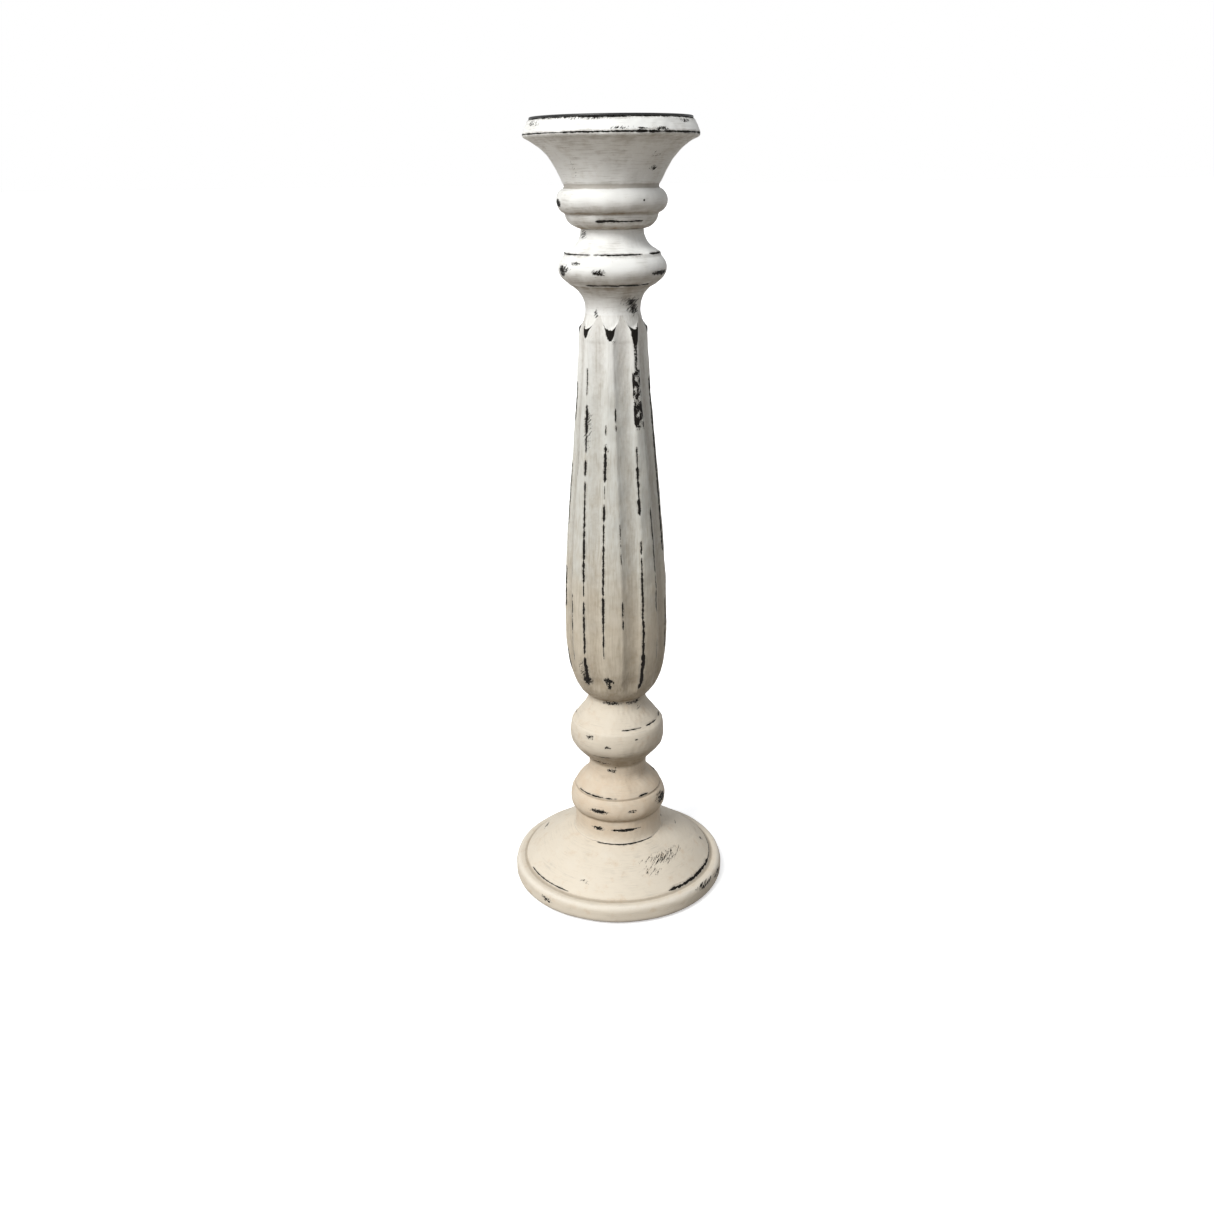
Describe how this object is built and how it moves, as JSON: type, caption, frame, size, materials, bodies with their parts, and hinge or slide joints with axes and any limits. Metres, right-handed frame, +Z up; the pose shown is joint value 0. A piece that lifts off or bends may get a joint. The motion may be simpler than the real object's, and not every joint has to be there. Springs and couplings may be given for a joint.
{
  "type": "pillar candlestick",
  "caption": "Tall turned wooden candlestick with a fluted column, a wide round foot, and a bell-shaped cup with a shallow steel pan for a pillar candle.",
  "frame": {"origin": "on the axis of the turning, at the level of the surface that the felt pads stand on", "axes": "+Z up along the axis of the turning, from the foot to the pan; a rib of the fluted shaft faces -Y"},
  "size_m": [0.133, 0.133, 0.457],
  "materials": {
    "painted_wood": "chalky off-white paint over a near-black undercoat, rubbed through along the edges",
    "pan_steel": "satin black enamel",
    "zinc_steel": "bright zinc plate",
    "felt": "dense brown felt"
  },
  "bodies": {
    "root": {"foot": "painted_wood", "column": "painted_wood", "cup": "painted_wood", "candle_pan": "pan_steel", "foot_screw": "zinc_steel", "foot_washer": "zinc_steel", "cup_screw": "zinc_steel", "cup_washer": "zinc_steel", "felt_pad_1": "felt", "felt_pad_2": "felt", "felt_pad_3": "felt", "felt_pad_4": "felt"}
  },
  "joints": []
}
